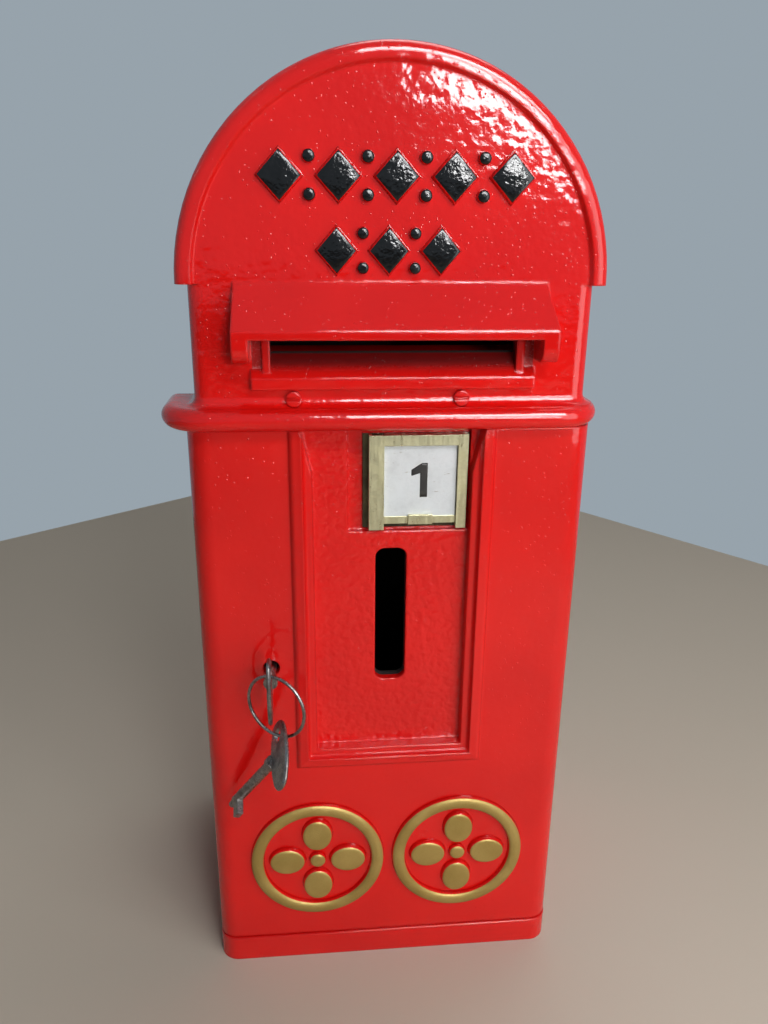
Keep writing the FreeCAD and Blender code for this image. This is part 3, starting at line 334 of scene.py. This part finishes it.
def white_enamel():
    """White enamel, stained in patches and scuffed sideways."""
    finish = new_finish("white_enamel")
    stain = finish.noise(12 * MM, detail=5.0, roughness=0.65)
    scuff = finish.noise(2.4 * MM, detail=4.0, roughness=0.7, stretch=(0.25, 1, 1))
    marks = scuff.ramp(0.60, 0.72)
    clean = colour(0.73, 0.77, 0.79)
    stained = colour(0.60, 0.63, 0.645)
    scuffed = colour(0.34, 0.32, 0.28)
    base = finish.blend(stain.ramp(0.35, 0.75), clean, stained)
    finish.set(Base_Color=finish.blend(marks * 0.8, base, scuffed),
               Roughness=marks * 0.2 + stain.ramp(0.3, 0.7, start=0.22, end=0.34), IOR=ENAMEL_IOR)
    finish.bump(stain * 0.5 + scuff * 0.5, depth=0.15 * MM, strength=0.4, edge=0.4 * MM)
    return finish.owner


def steel(name, bright, dark, smoothest):
    """Brushed steel that has darkened in patches; smoothest is its least roughness."""
    finish = new_finish(name)
    patch = finish.noise(6 * MM, detail=5.0, roughness=0.62)
    brush = finish.noise(0.8 * MM, detail=3.0, roughness=0.5, stretch=(1, 0.15, 1))
    old = patch.ramp(0.40, 0.66)
    brushed = brush.ramp(0.3, 0.7, start=smoothest, end=smoothest + 0.12)
    finish.set(Base_Color=finish.blend(old, bright, dark), Roughness=old * 0.2 + brushed, Metallic=1.0)
    finish.bump(brush * 0.5 + patch * 0.5, depth=0.05 * MM, strength=0.5, edge=0.3 * MM)
    return finish.owner


def black_japan():
    """Thin half-matt black on the lock's case and the tablet's figure."""
    finish = new_finish("black_japan")
    grit = finish.noise(1.5 * MM, detail=3.0)
    wear = finish.noise(14 * MM, detail=4.0, roughness=0.6)
    sound = colour(0.014, 0.014, 0.015)
    worn = colour(0.05, 0.045, 0.04)
    finish.set(Base_Color=finish.blend(wear.ramp(0.4, 0.8), sound, worn),
               Roughness=grit.ramp(0.3, 0.7, start=0.30, end=0.48), IOR=ENAMEL_IOR)
    finish.bump(grit, depth=0.2 * MM, strength=0.5, edge=0.5 * MM)
    return finish.owner


# The case's red is darkened under the cowl as painted shade
case_red = red_casting("red_case", case_grain, case_inside, slit_painted_shade)
door_red = red_casting("red_door", door_grain, door_inside)
trim_red = red_casting("red_trim")
black = black_enamel()
gold = gold_paint()
brass = aged_brass("aged_brass", colour(0.66, 0.635, 0.42), colour(0.48, 0.45, 0.275))
# Brass darkened almost to black on the tablet's back plate, as painted shade in the gap round the tablet
shade_painted_brass = aged_brass("shade_painted_brass", colour(0.10, 0.085, 0.05), colour(0.045, 0.038, 0.025))
enamel = white_enamel()
bright_steel = steel("bright_steel", colour(0.62, 0.62, 0.61), colour(0.40, 0.38, 0.35), 0.24)
dark_steel = steel("dark_steel", colour(0.29, 0.275, 0.27), colour(0.12, 0.105, 0.097), 0.18)
japan = black_japan()

FINISHES = {
    "body_casting": case_red,
    "door_casting": door_red,
    "letter_guard": trim_red,
    "guard_screws": trim_red,
    "tablet_back_plate": shade_painted_brass,
    "number_tablet": enamel,
    "lock_case": japan,
    "door_key": dark_steel,
    "key_ring": dark_steel,
    "spare_key": dark_steel,
}
SLOT_FINISHES = {"aged_brass": brass, "bright_steel": bright_steel}
slot_of = {part["node"]: part["material_slot"] for part in frame["record"]["subparts"]}
for name, node in frame["nodes"].items():
    node.data.materials.clear()
    node.data.materials.append(FINISHES.get(name) or SLOT_FINISHES[slot_of[name]])


def piece(name, mesh, body, materials):
    """Finished object made from a bmesh, riding on a body of the frame."""
    bmesh.ops.remove_doubles(mesh, verts=mesh.verts, dist=1e-6)
    bmesh.ops.recalc_face_normals(mesh, faces=mesh.faces)
    data = bpy.data.meshes.new(name)
    mesh.to_mesh(data)
    mesh.free()
    for material in materials:
        data.materials.append(material)
    thing = bpy.data.objects.new(name, data)
    bpy.context.scene.collection.objects.link(thing)
    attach(thing, body)


UPRIGHT = Matrix.Rotation(math.radians(90), 4, "X")
CROWN_SHARE = 0.87
ORNAMENT_RISE = 3 * MM
FORWARD = -0.6


def raise_face(mesh, face, rise, soften):
    """Turn a flat face that looks forward into a boss with sloping sides and softened shoulders."""
    middle = face.calc_center_median()
    grown = bmesh.ops.extrude_face_region(mesh, geom=[face])
    top = [item for item in grown["geom"] if isinstance(item, bmesh.types.BMVert)]
    bmesh.ops.scale(mesh, vec=(CROWN_SHARE, 1, CROWN_SHARE), space=Matrix.Translation(-middle), verts=top)
    bmesh.ops.translate(mesh, verts=top, vec=(0, -rise, 0))
    crown = [item for item in grown["geom"] if isinstance(item, bmesh.types.BMEdge)]
    bmesh.ops.bevel(mesh, geom=crown, offset=soften, segments=4, profile=0.5, affect="EDGES", material=-1)


def boss(mesh, x, z, width, height, sides, soften, turn=0.0):
    """Raised many-sided or round boss on the front face."""
    made = bmesh.ops.create_circle(mesh, cap_ends=True, segments=sides, radius=0.5)
    shape = (Matrix.Translation((x, FRONT_FACE, z)) @ Matrix.Rotation(turn, 4, "Y") @ UPRIGHT
             @ Matrix.Diagonal((width, height, 1, 1)))
    bmesh.ops.transform(mesh, matrix=shape, verts=made["verts"])
    raise_face(mesh, made["verts"][0].link_faces[0], ORNAMENT_RISE, soften)


def paint_sides(mesh):
    """Faces that don't look forward take the second material."""
    bmesh.ops.recalc_face_normals(mesh, faces=mesh.faces)
    for face in mesh.faces:
        face.material_index = 0 if face.normal.y < FORWARD else 1
        face.smooth = True


def lozenge_row(name, left, right, z, height, count):
    """Row of raised lozenges with pellets between them."""
    mesh = bmesh.new()
    pitch = (right - left) / count
    lozenge_width = pitch * 0.84
    pellet = height * 0.26
    pellet_lift = height * 0.33
    for number in range(count):
        x = left + pitch * (number + 0.5)
        boss(mesh, x, z, lozenge_width, height, sides=4, soften=0.8 * MM)
        if number:
            for side in (-1, 1):
                boss(mesh, x - pitch / 2, z + side * pellet_lift, pellet, pellet, sides=24, soften=1.1 * MM)
    paint_sides(mesh)
    piece(name, mesh, "case", [black, trim_red])


lozenge_row("hood_row_upper", -60 * MM, 60 * MM, 410 * MM, 22 * MM, 5)
lozenge_row("hood_row_lower", -36 * MM, 30 * MM, 381 * MM, 21 * MM, 3)


def rosette(name, x, z, radius):
    """Gilt ring round a four-petalled flower, cast on the foot of the door."""
    mesh = bmesh.new()
    band = 7.5 * MM
    soften = 0.9 * MM
    slope = 0.6 * MM
    inner = radius - band
    shoulder = soften - ORNAMENT_RISE
    profile = [(inner, 0), (inner + slope, shoulder), (inner + slope + soften, -ORNAMENT_RISE),
               (radius - slope - soften, -ORNAMENT_RISE), (radius - slope, shoulder), (radius, 0)]
    verts = [mesh.verts.new((x + across, FRONT_FACE + out, z)) for across, out in profile]
    edges = [mesh.edges.new(pair) for pair in zip(verts, verts[1:] + verts[:1])]
    bmesh.ops.spin(mesh, geom=verts + edges, cent=(x, FRONT_FACE, z), axis=(0, 1, 0), dvec=(0, 0, 0),
                   angle=math.tau, steps=72, use_merge=True)
    petal_reach = inner * 0.57
    petal_width = inner * 0.60
    petal_length = inner * 0.72
    for quarter in range(4):
        turn = quarter * math.pi / 2
        petal_x = x + petal_reach * math.sin(turn)
        petal_z = z + petal_reach * math.cos(turn)
        boss(mesh, petal_x, petal_z, petal_width, petal_length, sides=40, soften=1.0 * MM, turn=turn)
    eye = inner * 0.32
    boss(mesh, x, z, eye, eye, sides=24, soften=1.2 * MM)
    paint_sides(mesh)
    piece(name, mesh, "door", [gold, door_red])


rosette("rosette_left", -38 * MM, 67 * MM, 36 * MM)
rosette("rosette_right", 38 * MM, 67 * MM, 36 * MM)


def figure():
    """Plain figure one on the tablet: stem with a flag at its head."""
    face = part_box("number_tablet")[0].y
    stem_left = 13.4 * MM
    stem_right = 16.9 * MM
    foot = 270 * MM
    head = 286.7 * MM
    shoulder = stem_left + 0.8 * MM
    flag_left = 9.2 * MM
    flag_top = head - 3.2 * MM
    flag_tip = head - 6.0 * MM
    flag_root = head - 4.6 * MM
    outline = [(stem_left, foot), (stem_right, foot), (stem_right, head), (shoulder, head),
               (flag_left, flag_top), (flag_left, flag_tip), (stem_left, flag_root)]
    mesh = bmesh.new()
    rim = [mesh.verts.new((x, face, z)) for x, z in outline]
    raise_face(mesh, mesh.faces.new(rim), rise=0.14 * MM, soften=0.04 * MM)
    piece("tablet_figure", mesh, "tablet", [japan])


figure()


# Camera where the photograph was taken from, with angles in radians and the lens and film in millimetres
CAMERA_PLACE = Vector((-38.7, -437.7, 392.8)) * MM
CAMERA_YAW = 0.0956
CAMERA_PITCH = 0.338
CAMERA_ROLL = -0.0103
LENS = 29.11
FILM_WIDTH = 36
NEAREST = 10 * MM


def camera():
    forward = math.cos(CAMERA_PITCH)
    ahead = Vector((math.sin(CAMERA_YAW) * forward, math.cos(CAMERA_YAW) * forward, -math.sin(CAMERA_PITCH)))
    level = Vector((math.cos(CAMERA_YAW), -math.sin(CAMERA_YAW), 0))
    down = ahead.cross(level)
    right = math.cos(CAMERA_ROLL) * level + math.sin(CAMERA_ROLL) * down
    up = math.sin(CAMERA_ROLL) * level - math.cos(CAMERA_ROLL) * down
    data = bpy.data.cameras.new("camera")
    data.lens = LENS
    data.sensor_width = FILM_WIDTH
    data.clip_start = NEAREST
    thing = bpy.data.objects.new("camera", data)
    thing.matrix_world = Matrix.Translation(CAMERA_PLACE) @ Matrix((right, up, -ahead)).transposed().to_4x4()
    bpy.context.scene.collection.objects.link(thing)
    bpy.context.scene.camera = thing


# Square floor, with one corner behind the box
FLOOR_HALF = 2.0
FLOOR_CORNER = Vector((0.085, 1.0, 0))
FLOOR_TURN = math.radians(38)


def lay_floor():
    mesh = bmesh.new()
    bmesh.ops.create_grid(mesh, x_segments=1, y_segments=1, size=FLOOR_HALF)
    turned = Matrix.Rotation(FLOOR_TURN, 4, "Z")
    corner = turned @ Vector((FLOOR_HALF, FLOOR_HALF, 0))
    bmesh.ops.transform(mesh, matrix=Matrix.Translation(FLOOR_CORNER - corner) @ turned, verts=mesh.verts)
    data = bpy.data.meshes.new("floor")
    mesh.to_mesh(data)
    mesh.free()
    floor = bpy.data.objects.new("floor", data)
    bpy.context.scene.collection.objects.link(floor)
    finish = new_finish("pale_floor")
    mottle = finish.noise(0.5, detail=2.0)
    pale = finish.blend(mottle, colour(0.53, 0.47, 0.385), colour(0.57, 0.51, 0.425))
    finish.set(Base_Color=pale, Roughness=0.8)
    data.materials.append(finish.owner)


def room():
    """Pale where it is seen, and dim where it only lights the box."""
    world = bpy.data.worlds.new("studio")
    bpy.context.scene.world = world
    finish = Finish(world, "Background")
    dim = colour(0.030, 0.032, 0.034)
    pale = colour(0.31, 0.365, 0.41)
    finish.set(Color=finish.blend(finish.seen(), dim, pale))


def lamp(name, place, aim, width, height, watts, roll=0.0, gloss_only=False):
    """Soft rectangular lamp; one that is gloss_only shows in reflections and lights nothing."""
    data = bpy.data.lights.new(name, "AREA")
    data.shape = "RECTANGLE"
    data.size = width
    data.size_y = height
    data.energy = watts
    thing = bpy.data.objects.new(name, data)
    turn = (Vector(aim) - Vector(place)).to_track_quat("-Z", "Y").to_matrix().to_4x4()
    thing.matrix_world = Matrix.Translation(place) @ turn @ Matrix.Rotation(math.radians(roll), 4, "Z")
    thing.visible_diffuse = not gloss_only
    bpy.context.scene.collection.objects.link(thing)


# Points that the lamps are aimed at
HOOD_FRONT = (0.04, -0.075, 0.42)
MIDDLE = (0, 0, 0.25)


def lamps():
    lamp("window", (0.506, -1.795, 0.701), HOOD_FRONT, width=0.48, height=0.22, watts=9.3, roll=-32)
    lamp("skylight", (0.24, -0.79, 0.98), MIDDLE, width=0.50, height=0.13, watts=3.2)
    lamp("bright_panes", (0.28, -0.82, 0.86), MIDDLE, width=0.56, height=0.30, watts=10, gloss_only=True)
    lamp("right_wall", (0.42, -0.47, 0.40), MIDDLE, width=0.36, height=0.50, watts=1.65)
    lamp("sky", (0.3, 0.5, 1.8), MIDDLE, width=1.0, height=0.9, watts=9)
    lamp("left_fill", (-1.6, -0.9, 0.7), MIDDLE, width=1.0, height=1.2, watts=0.1)


camera()
lay_floor()
room()
lamps()
bpy.context.scene.view_settings.view_transform = "Standard"
